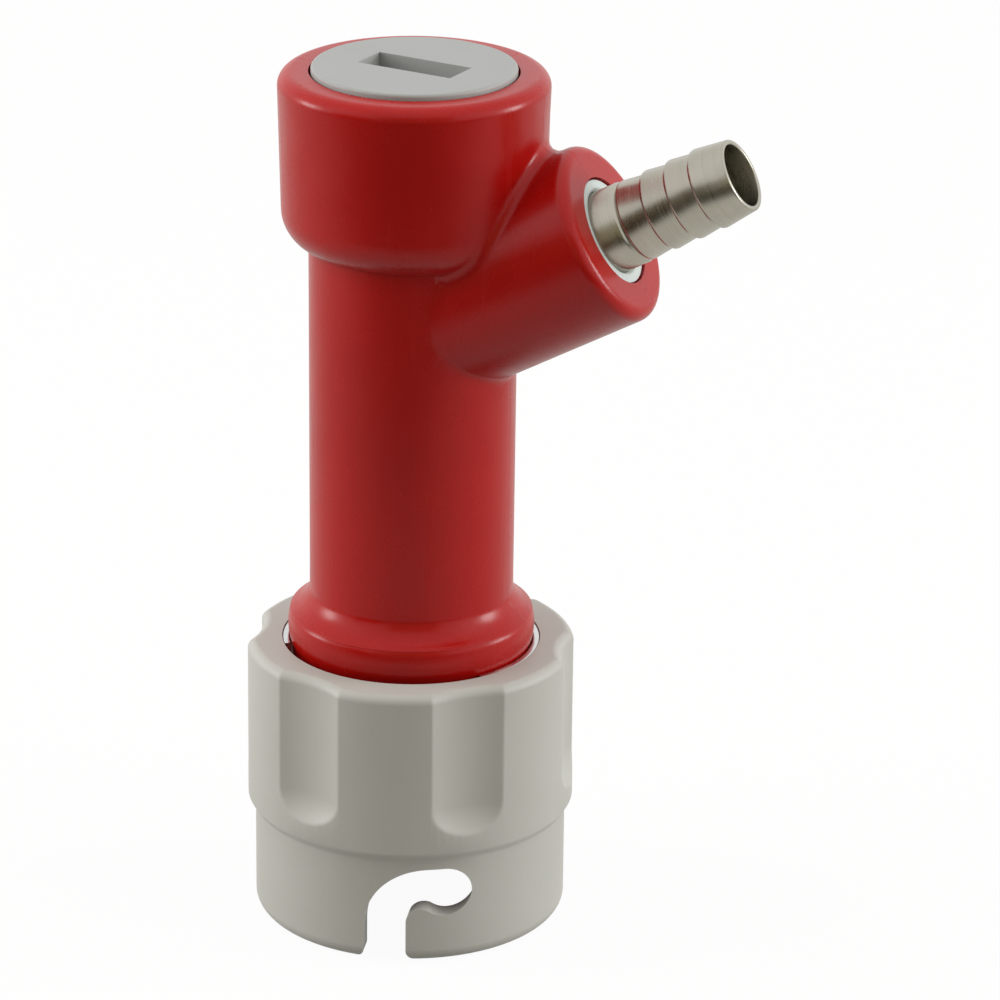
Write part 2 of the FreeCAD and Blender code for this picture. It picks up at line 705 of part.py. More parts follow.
def make_hose_barb():
    """Stainless hose barb on its own axis: nose, retaining flange, stem and ridges."""
    body = new_body("hose_barb", ON_ARM)
    corners = [
        ("dims.barb_bore", "places.barb_foot"),
        ("dims.barb_stem_radius", "places.barb_foot"),
        ("dims.barb_stem_radius", "places.barb_flange_foot"),
        ("dims.barb_flange_radius", "places.barb_flange_foot"),
        ("dims.barb_flange_radius", "places.barb_flange_top"),
        ("dims.barb_stem_radius", "places.barb_flange_top"),
    ]
    for ridge in range(DRIVING["barb_ridge_count"]):
        foot = f"dims.barb_first_ridge + {ridge} * dims.barb_ridge_pitch"
        corners += [
            ("dims.barb_stem_radius", foot),
            ("dims.barb_ridge_radius", f"{foot} + dims.barb_ridge_rise"),
        ]
    corners += [
        ("dims.barb_tip_radius", "dims.barb_tip - dims.barb_tip_round"),
        ("dims.barb_tip_radius - dims.barb_tip_round", "dims.barb_tip",
         "dims.barb_tip_round"),
        ("dims.barb_bore", "dims.barb_tip"),
    ]
    turned(body, "Revolution", "barb_form", corners)
    return body


def make_ferrule():
    """White ferrule pressed round the barb's stem in the boss."""
    body = new_body("barb_ferrule", ON_ARM)
    turned(body, "Revolution", "ferrule_form", [
        ("places.ferrule_inner_radius", "places.ferrule_foot"),
        ("places.ferrule_outer_radius", "places.ferrule_foot"),
        ("places.ferrule_outer_radius", "places.ferrule_top"),
        ("places.ferrule_inner_radius + dims.ferrule_edge", "places.ferrule_top"),
        ("places.ferrule_inner_radius", "places.ferrule_top - dims.ferrule_edge"),
    ])
    return body


def save(bodies):
    """Check every object and write each body's shape to the parts folder."""
    doc.recompute()
    faulty = [item.Name for item in doc.Objects if {"Invalid", "Error"} & set(item.State)]
    if faulty:
        raise RuntimeError("objects not made: " + ", ".join(faulty))
    for body in bodies:
        if body.Shape.isNull() or not body.Shape.isValid() or not body.Shape.Solids:
            raise RuntimeError("no sound solid: " + body.Label)
    os.makedirs(PARTS_FOLDER, exist_ok=True)
    for body in bodies:
        body.Shape.exportStep(os.path.join(PARTS_FOLDER, body.Label + ".step"))
        print(f"{body.Label}: {len(body.Shape.Solids)} solid, {body.Shape.Volume:.1f} mm3")


save([
    make_main_body(),
    make_collar(),
    make_retaining_ring(),
    make_top_cap(),
    o_ring("cap_seal", "places.cap_seal_radius", "dims.cap_seal_section",
           "places.cap_seal_height"),
    make_poppet(),
    o_ring("poppet_seal", "dims.poppet_seal_radius", "dims.poppet_seal_section",
           "places.poppet_seal_height"),
    make_spring(),
    make_hose_barb(),
    make_ferrule(),
    o_ring("barb_seal", "places.barb_seal_radius", "dims.barb_seal_section",
           "places.barb_seal_height", ON_ARM),
])
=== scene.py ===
"""Pin lock gas connector: its pieces, finishes, studio and camera.

The connector's lengths are millimetres in its own frame: the origin on the housing's
axis at the collar's foot, +Z up, and the hose arm leaning out of +X. The studio's
lengths are metres in the same frame.
"""

import logging
import math
from collections.abc import Sequence
from dataclasses import dataclass
from enum import Enum
from typing import Any

import bpy
from mathutils import Matrix, Vector


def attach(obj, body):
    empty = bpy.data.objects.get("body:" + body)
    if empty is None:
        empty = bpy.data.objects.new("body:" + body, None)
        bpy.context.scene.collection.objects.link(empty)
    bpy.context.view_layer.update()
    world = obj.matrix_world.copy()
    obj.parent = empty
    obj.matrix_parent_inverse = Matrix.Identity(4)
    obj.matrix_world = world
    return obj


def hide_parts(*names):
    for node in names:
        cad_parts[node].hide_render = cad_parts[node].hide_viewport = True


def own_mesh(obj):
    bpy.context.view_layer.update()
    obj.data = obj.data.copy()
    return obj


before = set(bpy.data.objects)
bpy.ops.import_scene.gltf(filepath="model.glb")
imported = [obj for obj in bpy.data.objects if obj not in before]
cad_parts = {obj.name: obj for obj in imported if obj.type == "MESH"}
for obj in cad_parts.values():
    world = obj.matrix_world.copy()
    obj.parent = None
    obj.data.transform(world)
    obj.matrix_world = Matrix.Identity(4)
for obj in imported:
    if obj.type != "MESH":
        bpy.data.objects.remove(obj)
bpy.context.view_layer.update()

log = logging.getLogger("connector")

MM = 0.001
MERGE = 2e-6  # metres within which two corners are one
TOUCH = 0.01  # millimetres within which a corner lies on a line
EDGE_SEGMENTS = 2
ARM_AZIMUTH = -10.0  # degrees from +X, where the hose arm points
LIT_POINT = Vector((0.0, 0.0, 0.05))  # metres, where the lamps are aimed
UPRIGHT = Matrix.Identity(4)

SRGB_KNEE = 0.04045
SRGB_SLOPE = 12.92
SRGB_LIFT = 0.055
SRGB_POWER = 2.4
NOISE_MEAN = 0.5

# Sockets of the Mix node that mixes colours, which share their names with others.
MIX_SHARE, MIX_FIRST, MIX_SECOND, MIX_RESULT = 0, 6, 7, 2

Point = tuple[float, float]
Span = tuple[float, float]
Colour = tuple[int, int, int]
Triple = tuple[float, float, float]


class Body(Enum):
    """The bodies that move against one another."""

    HOUSING = "housing"
    COLLAR = "collar"
    POPPET = "poppet"
    CAP_SEAL = "cap_seal_ring"
    CAP = "cap"


class Sheen(Enum):
    """How rough a moulded surface is left by its tool."""

    SATIN = 0.27
    SOFT = 0.4
    MATT = 0.52


def linear(colour: Colour) -> tuple[float, float, float, float]:
    """Turn a colour as a screen shows it into scene-linear values.

    Args:
        colour: Red, green and blue from 0 to 255.

    Returns:
        Linear red, green, blue and a full alpha.
    """
    parts = []
    for part in colour:
        share = part / 255
        if share <= SRGB_KNEE:
            parts.append(share / SRGB_SLOPE)
        else:
            parts.append(((share + SRGB_LIFT) / (1.0 + SRGB_LIFT)) ** SRGB_POWER)
    return (parts[0], parts[1], parts[2], 1.0)


class Level:
    """A number that varies over a surface; arithmetic on it adds Math nodes."""

    def __init__(self, bench: "Bench", socket: bpy.types.NodeSocket) -> None:
        """Wrap an output socket of the bench's tree."""
        self.bench = bench
        self.socket = socket

    def __add__(self, other: "float | Level") -> "Level":
        """Sum of two levels."""
        return self.bench.math("ADD", self, other)

    __radd__ = __add__

    def __sub__(self, other: "float | Level") -> "Level":
        """This level less the other."""
        return self.bench.math("SUBTRACT", self, other)

    def __rsub__(self, other: "float | Level") -> "Level":
        """The other less this level."""
        return self.bench.math("SUBTRACT", other, self)

    def __mul__(self, other: "float | Level") -> "Level":
        """Product of two levels."""
        return self.bench.math("MULTIPLY", self, other)

    __rmul__ = __mul__

    def size(self) -> "Level":
        """The level without its sign."""
        return self.bench.math("ABSOLUTE", self)

    def swing(self, share: float) -> "Level":
        """A noise's departure from its mean, times a share."""
        return (self - NOISE_MEAN) * share

    def clamped(self) -> "Level":
        """The level kept between 0 and 1."""
        return self.bench.math("MINIMUM", self.bench.math("MAXIMUM", self, 0.0), 1.0)

    def rising(self, low: float, high: float) -> "Level":
        """Smooth step of the level.

        Args:
            low: Where the step starts from 0.
            high: Where it has reached 1.

        Returns:
            The step as a level from 0 to 1.
        """
        step = self.bench.node(
            "ShaderNodeMapRange",
            {"interpolation_type": "SMOOTHSTEP"},
            {0: self, 1: low, 2: high},
        )
        return Level(self.bench, step.outputs[0])


class Bench:
    """The node tree of one material or of the world, and the ways to add to it."""

    def __init__(self, tree: bpy.types.NodeTree) -> None:
        """Take over a node tree and empty it."""
        self.tree = tree
        self.tree.nodes.clear()

    def node(
        self,
        kind: str,
        settings: dict[str, Any] | None = None,
        values: dict[int | str, Any] | None = None,
    ) -> bpy.types.Node:
        """Add a node.

        Args:
            kind: The node's type.
            settings: Its properties, which are set first.
            values: Numbers, colours, sockets or levels for its inputs.

        Returns:
            The new node.
        """
        node = self.tree.nodes.new(kind)
        for key, setting in (settings or {}).items():
            setattr(node, key, setting)
        for key, given in (values or {}).items():
            source = given.socket if isinstance(given, Level) else given
            if isinstance(source, bpy.types.NodeSocket):
                self.tree.links.new(source, node.inputs[key])
            else:
                node.inputs[key].default_value = source
        return node

    def math(self, operation: str, *terms: "float | Level") -> Level:
        """Add a Math node.

        Args:
            operation: What the node does.
            terms: Its inputs in order.

        Returns:
            The result as a level.
        """
        node = self.node(
            "ShaderNodeMath", {"operation": operation}, dict(enumerate(terms))
        )
        return Level(self, node.outputs[0])

    def place(self) -> bpy.types.NodeSocket:
        """Object coordinates, which are the connector's own frame in metres."""
        return self.node("ShaderNodeTexCoord").outputs["Object"]

    def stretched(
        self, place: bpy.types.NodeSocket, scale: Triple
    ) -> bpy.types.NodeSocket:
        """Scale a place along the three axes.

        Args:
            place: The coordinates to scale.
            scale: How many times along X, Y and Z.

        Returns:
            The scaled coordinates.
        """
        mapping = self.node(
            "ShaderNodeMapping", None, {"Vector": place, "Scale": scale}
        )
        return mapping.outputs[0]

    def along(self, place: bpy.types.NodeSocket, axis: Vector) -> Level:
        """Millimetres along an axis through the origin."""
        dot = self.node(
            "ShaderNodeVectorMath",
            {"operation": "DOT_PRODUCT"},
            {0: place, 1: tuple(axis)},
        )
        return Level(self, dot.outputs["Value"]) * (1 / MM)

    def noise(
        self, place: bpy.types.NodeSocket, scale: float, detail: float = 2.0
    ) -> Level:
        """Noise over a place, with NOISE_MEAN as its average.

        Args:
            place: The coordinates it is read at.
            scale: Lumps per unit of the coordinates.
            detail: How many finer layers it has.

        Returns:
            The noise as a level.
        """
        noise = self.node(
            "ShaderNodeTexNoise",
            None,
            {"Vector": place, "Scale": scale, "Detail": detail},
        )
        return Level(self, noise.outputs[0])

    def lines(self, along: Level, scale: float, detail: float = 1.0) -> Level:
        """Noise that varies with one number only, as the lines of a lathe do.

        Args:
            along: The number it varies with.
            scale: Lines per unit of that number.
            detail: How many finer layers it has.

        Returns:
            The lines as a level.
        """
        noise = self.node(
            "ShaderNodeTexNoise",
            {"noise_dimensions": "1D"},
            {"W": along, "Scale": scale, "Detail": detail},
        )
        return Level(self, noise.outputs[0])

    def blend(
        self, share: Level, first: Colour, second: Colour
    ) -> bpy.types.NodeSocket:
        """Mix two colours.

        Args:
            share: How much of the second, from 0 to 1.
            first: The colour at 0.
            second: The colour at 1.

        Returns:
            The mixed colour.
        """
        mix = self.node(
            "ShaderNodeMix",
            {"data_type": "RGBA"},
            {MIX_SHARE: share, MIX_FIRST: linear(first), MIX_SECOND: linear(second)},
        )
        return mix.outputs[MIX_RESULT]

    def relief(self, height: Level) -> bpy.types.NodeSocket:
        """Turn a height in millimetres into a bumped normal."""
        bump = self.node("ShaderNodeBump", None, {"Distance": MM, "Height": height})
        return bump.outputs[0]

    def surface(self, values: dict[int | str, Any]) -> None:
        """Finish the tree with a Principled shader.

        Args:
            values: Its inputs.
        """
        shader = self.node("ShaderNodeBsdfPrincipled", None, values)
        self.node("ShaderNodeOutputMaterial", None, {"Surface": shader.outputs[0]})


def new_bench(name: str) -> tuple[bpy.types.Material, Bench]:
    """Start a material.

    Args:
        name: The material's name.

    Returns:
        The material and the bench of its node tree.
    """
    material = bpy.data.materials.new(name)
    material.use_nodes = True
    return material, Bench(material.node_tree)


@dataclass(frozen=True)
class MouldedPlastic:
    """Moulded plastic: faint clouds, orange peel, fine grain and rubbed streaks.

    Lumps are counted per metre. Reliefs, heights and fades are millimetres.
    """

    name: str
    colour: Colour
    deep: Colour
    sheen: Sheen
    gloss: float = 0.5
    peel: float = 0.003
    grain: float = 0.0012
    seam_azimuth: float | None = None
    belt_height: float | None = None
    thread_pitch: float = 0.0
    thread_foot: float = 0.0
    thread_top: float = 0.0
    thread_relief: float = 0.32
    thread_fade: float = 0.3
    cloud_lumps: float = 48.0
    peel_lumps: float = 380.0
    grain_lumps: float = 2800.0
    streak_lumps: Triple = (700.0, 700.0, 28.0)
    streak_onset: Span = (0.6, 0.75)
    seam_relief: float = 0.022
    seam_fade: Span = (0.04, 0.14)
    belt_relief: float = 0.03
    belt_fade: Span = (0.03, 0.12)
    middle_tone: float = 0.55
    cloud_tone: float = 1.6
    grain_tone: float = 0.35
    streak_tone: float = 0.12
    cloud_rough: float = 0.12
    peel_rough: float = 0.05
    streak_rough: float = 0.1

    def material(self) -> bpy.types.Material:
        """Make the material."""
        material, bench = new_bench(self.name)
        place = bench.place()
        cloud = bench.noise(place, self.cloud_lumps, detail=3.0)
        peel = bench.noise(place, self.peel_lumps)
        grain = bench.noise(place, self.grain_lumps)
        rubbed = bench.stretched(place, self.streak_lumps)
        rub = bench.noise(rubbed, scale=1.0, detail=3.0)
        streaks = rub.rising(*self.streak_onset)
        height = peel * self.peel + grain * self.grain
        if self.seam_azimuth is not None:
            angle = math.radians(self.seam_azimuth)
            side = Vector((-math.sin(angle), math.cos(angle), 0.0))
            off_seam = bench.along(place, side).size().rising(*self.seam_fade)
            height = height + self.seam_relief * (1.0 - off_seam)
        if self.belt_height is not None:
            up = bench.along(place, Vector((0.0, 0.0, 1.0)))
            off_belt = (up - self.belt_height).size().rising(*self.belt_fade)
            height = height + self.belt_relief * (1.0 - off_belt)
        if self.thread_pitch:
            height = height + self.thread(bench, place)
        tone = cloud.swing(self.cloud_tone) + grain.swing(self.grain_tone)
        tone = tone + self.middle_tone + streaks * self.streak_tone
        rough = cloud.swing(self.cloud_rough) + peel.swing(self.peel_rough)
        rough = rough + streaks * self.streak_rough + self.sheen.value
        bench.surface(
            {
                "Base Color": bench.blend(tone.clamped(), self.deep, self.colour),
                "Roughness": rough.clamped(),
                "Specular IOR Level": self.gloss,
                "Normal": bench.relief(height),
            }
        )
        return material

    def thread(self, bench: Bench, place: bpy.types.NodeSocket) -> Level:
        """Relief of a screw thread round the Z axis.

        Args:
            bench: The material's bench.
            place: Its object coordinates.

        Returns:
            Height in millimetres, which is level outside the threaded length.
        """
        parts = bench.node("ShaderNodeSeparateXYZ", None, {0: place})
        turn = bench.math(
            "ARCTAN2", Level(bench, parts.outputs[1]), Level(bench, parts.outputs[0])
        )
        up = Level(bench, parts.outputs[2]) * (1 / MM)
        phase = up * (math.tau / self.thread_pitch) - turn
        wave = bench.math("COSINE", phase)
        inside = up.rising(self.thread_foot, self.thread_foot + self.thread_fade)
        outside = up.rising(self.thread_top - self.thread_fade, self.thread_top)
        return wave * (inside - outside) * self.thread_relief


@dataclass(frozen=True)
class TurnedSteel:
    """Stainless steel from a lathe: fine rings across its axis and faint smears.

    Lines are counted per millimetre, lumps per metre. Reliefs are millimetres.
    """

    name: str
    axis: Triple
    colour: Colour = (190, 186, 173)
    deep: Colour = (153, 148, 135)
    roughness: float = 0.28
    coarse_lines: float = 3.2
    fine_lines: float = 16.0
    smear_lumps: float = 260.0
    coarse_relief: float = 0.0012
    fine_relief: float = 0.0006
    middle_tone: float = 0.62
    coarse_tone: float = 0.5
    smear_tone: float = 0.9
    coarse_rough: float = 0.1
    smear_rough: float = 0.16

    def material(self) -> bpy.types.Material:
        """Make the material."""
        material, bench = new_bench(self.name)
        place = bench.place()
        along = bench.along(place, Vector(self.axis))
        coarse = bench.lines(along, self.coarse_lines, detail=2.0)
        fine = bench.lines(along, self.fine_lines)
        smear = bench.noise(place, self.smear_lumps, detail=3.0)
        tone = coarse.swing(self.coarse_tone) + smear.swing(self.smear_tone)
        tone = tone + self.middle_tone
        rough = coarse.swing(self.coarse_rough) + smear.swing(self.smear_rough)
        rough = rough + self.roughness
        height = coarse * self.coarse_relief + fine * self.fine_relief
        bench.surface(
            {
                "Base Color": bench.blend(tone.clamped(), self.deep, self.colour),
                "Metallic": 1.0,
                "Roughness": rough.clamped(),
                "Normal": bench.relief(height),
            }
        )
        return material


@dataclass(frozen=True)
class DrawnWire:
    """Bright drawn steel wire with soft smears.

    Lumps are counted per metre. The relief is in millimetres.
    """

    name: str
    colour: Colour = (226, 226, 224)
    deep: Colour = (186, 187, 188)
    roughness: float = 0.2
    smear_lumps: float = 420.0
    pull_lumps: Triple = (150.0, 150.0, 2400.0)
    pull_relief: float = 0.002
    middle_tone: float = 0.6
    smear_tone: float = 1.2
    smear_rough: float = 0.14
    pull_rough: float = 0.1

    def material(self) -> bpy.types.Material:
        """Make the material."""
        material, bench = new_bench(self.name)
        place = bench.place()
        smear = bench.noise(place, self.smear_lumps, detail=3.0)
        pull = bench.noise(bench.stretched(place, self.pull_lumps), scale=1.0)
        tone = smear.swing(self.smear_tone) + self.middle_tone
        rough = smear.swing(self.smear_rough) + pull.swing(self.pull_rough)
        rough = rough + self.roughness
        bench.surface(
            {
                "Base Color": bench.blend(tone.clamped(), self.deep, self.colour),
                "Metallic": 1.0,
                "Roughness": rough.clamped(),
                "Normal": bench.relief(pull * self.pull_relief),
            }
        )
        return material


@dataclass(frozen=True)
class Nitrile:
    """Black rubber with a dusty bloom.

    Lumps are counted per metre. The relief is in millimetres.
    """

    name: str
    black: Colour = (20, 20, 21)
    dusty: Colour = (48, 47, 46)
    roughness: float = 0.58
    bloom_lumps: float = 520.0
    bloom_onset: Span = (0.4, 0.8)
    bloom_rough: float = 0.2
    grain_lumps: float = 5200.0
    grain_relief: float = 0.004

    def material(self) -> bpy.types.Material:
        """Make the material."""
        material, bench = new_bench(self.name)
        place = bench.place()
        bloom = bench.noise(place, self.bloom_lumps, detail=3.0)
        grain = bench.noise(place, self.grain_lumps, detail=1.0)
        dust = bloom.rising(*self.bloom_onset)
        rough = bloom.swing(self.bloom_rough) + self.roughness
        bench.surface(
            {
                "Base Color": bench.blend(dust, self.black, self.dusty),
                "Roughness": rough.clamped(),
                "Normal": bench.relief(grain * self.grain_relief),
            }
        )
        return material


def start_clean() -> None:
    """Leave nothing selected or active."""
    bpy.ops.object.select_all(action="DESELECT")
    bpy.context.view_layer.objects.active = None


def take(piece: bpy.types.Object) -> None:
    """Select one object alone and make it active.

    Args:
        piece: The object.
    """
    start_clean()
    piece.select_set(True)
    bpy.context.view_layer.objects.active = piece


def apply_modifier(
    piece: bpy.types.Object, kind: str, settings: dict[str, Any]
) -> None:
    """Add a modifier and apply it.

    Args:
        piece: The object it goes on.
        kind: The modifier's type.
        settings: Its properties.
    """
    take(piece)
    bpy.ops.object.modifier_add(type=kind)
    modifier = piece.modifiers[-1]
    for key, setting in settings.items():
        setattr(modifier, key, setting)
    bpy.ops.object.modifier_apply(modifier=modifier.name)


def close_seams(turn_outwards: bool) -> None:
    """Merge what lies in one place in edit mode.

    Args:
        turn_outwards: Whether the faces are then turned outwards.
    """
    bpy.ops.mesh.select_all(action="SELECT")
    bpy.ops.mesh.remove_doubles(threshold=MERGE)
    if turn_outwards:
        bpy.ops.mesh.normals_make_consistent(inside=False)
    bpy.ops.object.mode_set(mode="OBJECT")


def turned(name: str, outline: Sequence[Point], steps: int = 96) -> bpy.types.Object:
    """Spin an outline round the Z axis.

    Args:
        name: The piece's name.
        outline: Points as (radius, height), closed or ending on the axis.
        steps: Facets round the piece.

    Returns:
        The turned piece.
    """
    start_clean()
    # The plane is merged to one corner, from which the outline is drawn.
    here = Vector((outline[0][0], 0.0, outline[0][1])) * MM
    bpy.ops.mesh.primitive_plane_add(size=MM, location=here)
    piece = bpy.context.object
    piece.name = name
    bpy.ops.object.mode_set(mode="EDIT")
    bpy.ops.mesh.select_mode(type="VERT")
    bpy.ops.mesh.select_all(action="SELECT")
    bpy.ops.mesh.merge(type="CENTER")
    for radius, height in outline[1:]:
        there = Vector((radius, 0.0, height)) * MM
        bpy.ops.mesh.extrude_region_move(
            TRANSFORM_OT_translate={"value": tuple(there - here)}
        )
        here = there
    bpy.ops.mesh.select_all(action="SELECT")
    bpy.ops.mesh.spin(steps=steps, angle=math.tau, center=(0, 0, 0), axis=(0, 0, 1))
    close_seams(turn_outwards=True)
    bpy.ops.object.transform_apply(location=True, rotation=True, scale=True)
    return piece


def settle(piece: bpy.types.Object, edge: float = 0.0, sharp: float = 40.0) -> None:
    """Put a new piece's place into its mesh, break its edges and shade it.

    Args:
        piece: The object.
        edge: How wide its sharp edges are broken, in millimetres.
        sharp: Edges over this many degrees count as sharp.
    """
    take(piece)
    bpy.ops.object.transform_apply(location=True, rotation=True, scale=True)
    if edge:
        apply_modifier(
            piece,
            "BEVEL",
            {
                "width": edge * MM,
                "segments": EDGE_SEGMENTS,
                "limit_method": "ANGLE",
                "angle_limit": math.radians(sharp),
            },
        )
    bpy.ops.object.shade_smooth_by_angle(angle=math.radians(sharp))


def smoothed(
    node: str, name: str, sharp: float = 50.0, rounds: int = 0
) -> bpy.types.Object:
    """Copy a solid's mesh as one closed skin with even shading.

    Args:
        node: The solid's node.
        name: The new piece's name.
        sharp: Edges over this many degrees stay sharp.
        rounds: How many times the skin is rounded off.

    Returns:
        The new piece.
    """
    piece = bpy.data.objects.new(name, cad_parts[node].data.copy())
    bpy.context.scene.collection.objects.link(piece)
    take(piece)
    if piece.data.has_custom_normals:
        bpy.ops.mesh.customdata_custom_splitnormals_clear()
    bpy.ops.object.mode_set(mode="EDIT")
    close_seams(turn_outwards=False)
    if rounds:
        apply_modifier(piece, "SUBSURF", {"levels": rounds, "render_levels": rounds})
    bpy.ops.object.shade_smooth_by_angle(angle=math.radians(sharp))
    apply_modifier(piece, "WEIGHTED_NORMAL", {"mode": "FACE_AREA", "keep_sharp": True})
    return piece


def fit(
    piece: bpy.types.Object,
    body: Body,
    material: bpy.types.Material,
    node: str,
) -> None:
    """Dress a piece and hang it on its body in the place of a solid.

    Args:
        piece: The object.
        body: The body that it moves with.
        material: Its finish.
        node: The solid that it stands for.
    """
    piece.data.materials.clear()
    piece.data.materials.append(material)
    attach(piece, body.value)
    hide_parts(node)
    log.info("%s: %d faces on %s", piece.name, len(piece.data.polygons), body.value)


@dataclass(frozen=True)
class RubberRing:
    """A black O-ring: a cord of round section bent round an axis.

    Its radius and height are those of the cord's middle, its section the diameter.
    """

    name: str
    rubber: str
    node: str
    body: Body
    radius: float
    height: float
    section: float
    steps: int = 96
    sides: int = 20

    def outline(self) -> list[Point]:
        """The cord's section, its first point again at the end."""
        half = self.section / 2
        points = []
        for side in range(self.sides + 1):
            angle = side * math.tau / self.sides
            points.append(
                (
                    self.radius + half * math.cos(angle),
                    self.height + half * math.sin(angle),
                )
            )
        return points

    def build(self, place: Matrix) -> None:
        """Make the ring and dress it.

        Args:
            place: Takes the ring from the Z axis to where it lies.
        """
        ring = turned(self.name, self.outline(), self.steps)
        ring.matrix_world = place
        settle(ring)
        fit(ring, self.body, Nitrile(self.rubber).material(), self.node)


@dataclass(frozen=True)
class ArmPlacement:
    """Where the slanted arm's axis runs, with its angles in degrees.

    The height is where it crosses the housing's axis.
    """

    azimuth: float = ARM_AZIMUTH
    rise: float = 29.0
    height: float = 66.85

    def matrix(self) -> Matrix:
        """Take the Z axis of a piece turned at the origin onto the arm's axis."""
        return (
            Matrix.Translation((0.0, 0.0, self.height * MM))
            @ Matrix.Rotation(math.radians(self.azimuth), 4, "Z")
            @ Matrix.Rotation(math.radians(90.0 - self.rise), 4, "Y")
        )

    def axis(self) -> Triple:
        """The arm's direction."""
        return tuple(self.matrix().to_3x3() @ Vector((0.0, 0.0, 1.0)))


@dataclass
class Housing:
    """The red moulded housing with the hose barb, its ferrule and its O-ring.

    The barb, the ferrule and the O-ring are measured along the arm's own axis, from
    where it crosses the housing's. Names without more are radii.
    """

    arm: ArmPlacement = ArmPlacement()
    bore: float = 3.35
    stem: float = 3.95
    foot: float = 11.03
    flange_foot: float = 15.84
    flange_top: float = 17.04
    flange: float = 5.55
    first_ridge: float = 27.6
    ridge_pitch: float = 2.88
    ridge_count: int = 4
    ridge: float = 4.33
    crease: float = 4.02
    shoulder: float = 0.4
    shoulder_steps: int = 6
    root: float = 4.42
    root_drop: float = 0.12
    root_fall: float = 0.4
    tip: float = 40.3
    tip_radius: float = 3.9
    tip_round: float = 0.2
    tip_steps: int = 4
    barb_edge: float = 0.05
    barb_steps: int = 128
    ferrule_foot: float = 17.07
    ferrule_top: float = 24.75
    ferrule_inner: float = 4.46
    ferrule_outer: float = 5.68
    ferrule_bevel: float = 0.3
    ferrule_edge: float = 0.08
    seal: RubberRing = RubberRing(
        name="barb_o_ring",
        rubber="barb_nitrile",
        node="barb_seal",
        body=Body.HOUSING,
        radius=4.87,
        height=14.92,
        section=1.78,
    )
    finish: MouldedPlastic = MouldedPlastic(
        "red_acetal",
        (172, 13, 7),
        (154, 9, 5),
        Sheen.SATIN,
        gloss=0.3,
        seam_azimuth=ARM_AZIMUTH,
        belt_height=34.3,
    )
    ferrule_finish: MouldedPlastic = MouldedPlastic(
        "white_nylon", (208, 216, 213), (195, 204, 201), Sheen.SOFT
    )

    def shoulder_points(self, foot: float) -> list[Point]:
        """A ridge's rounded shoulder, from the stem up to its crest.

        Args:
            foot: Where the ridge rises from the stem.

        Returns:
            Points from the crease to the crest.
        """
        points = [(self.crease, foot)]
        for step in range(1, self.shoulder_steps + 1):
            angle = step * math.pi / 2 / self.shoulder_steps
            points.append(
                (
                    self.crease + (self.ridge - self.crease) * math.sin(angle),
                    foot + self.shoulder * (1 - math.cos(angle)),
                )
            )
        return points

    def barb_outline(self) -> list[Point]:
        """The barb's closed outline on its own axis."""
        points = [
            (self.bore, self.foot),
            (self.stem, self.foot),
            (self.stem, self.flange_foot),
            (self.flange, self.flange_foot),
            (self.flange, self.flange_top),
            (self.root, self.flange_top),
            (self.root, self.first_ridge - self.root_fall),
            (self.root - self.root_drop, self.first_ridge - self.root_fall / 2),
        ]
        for ridge in range(self.ridge_count):
            points += self.shoulder_points(self.first_ridge + ridge * self.ridge_pitch)
        for step in range(self.tip_steps + 1):
            angle = step * math.pi / 2 / self.tip_steps
            points.append(
                (
                    self.tip_radius - self.tip_round * (1 - math.cos(angle)),
                    self.tip - self.tip_round * (1 - math.sin(angle)),
                )
            )
        points += [
            (self.bore + self.tip_round / 2, self.tip),
            (self.bore, self.tip - self.tip_round / 2),
            (self.bore, self.foot),
        ]
        return points

    def ferrule_outline(self) -> list[Point]:
        """The ferrule's closed outline on the arm's axis."""
        return [
            (self.ferrule_inner, self.ferrule_foot),
            (self.ferrule_outer, self.ferrule_foot),
            (self.ferrule_outer, self.ferrule_top),
            (self.ferrule_inner + self.ferrule_bevel, self.ferrule_top),
            (self.ferrule_inner, self.ferrule_top - self.ferrule_bevel),
            (self.ferrule_inner, self.ferrule_foot),
        ]

    def build(self) -> None:
        """Make the housing's pieces and dress them."""
        shell = smoothed("main_body", "housing_shell")
        fit(shell, Body.HOUSING, self.finish.material(), "main_body")

        barb = turned("turned_barb", self.barb_outline(), self.barb_steps)
        barb.matrix_world = self.arm.matrix()
        settle(barb, self.barb_edge)
        steel = TurnedSteel("turned_stainless", self.arm.axis())
        fit(barb, Body.HOUSING, steel.material(), "hose_barb")

        ferrule = turned("white_ferrule", self.ferrule_outline())
        ferrule.matrix_world = self.arm.matrix()
        settle(ferrule, self.ferrule_edge)
        nylon = self.ferrule_finish.material()
        fit(ferrule, Body.HOUSING, nylon, "barb_ferrule")

        self.seal.build(self.arm.matrix())


